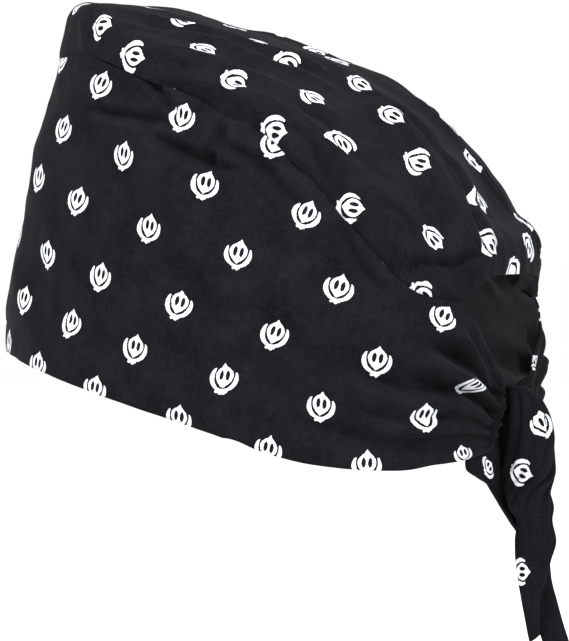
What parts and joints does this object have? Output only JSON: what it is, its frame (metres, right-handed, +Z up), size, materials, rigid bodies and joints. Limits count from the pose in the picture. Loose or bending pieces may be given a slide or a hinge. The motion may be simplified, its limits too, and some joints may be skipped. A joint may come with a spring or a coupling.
{
  "type": "patka head cloth",
  "caption": "Fitted cotton head cloth: deep brow band, domed crown panel, open back with a gathered casing, and ties knotted at the nape.",
  "frame": {"origin": "centre of the head opening, level with the middle of the hem", "axes": "+Z up as worn, -Y towards the wearer's front, +X to the wearer's left"},
  "size_m": [0.1606, 0.2376, 0.2729],
  "materials": {
    "printed_cotton": "matt plain-woven black cotton with a small white printed emblem"
  },
  "bodies": {
    "root": {"side_band": "printed_cotton", "crown": "printed_cotton", "left_tie": "printed_cotton", "right_tie": "printed_cotton"}
  },
  "joints": []
}
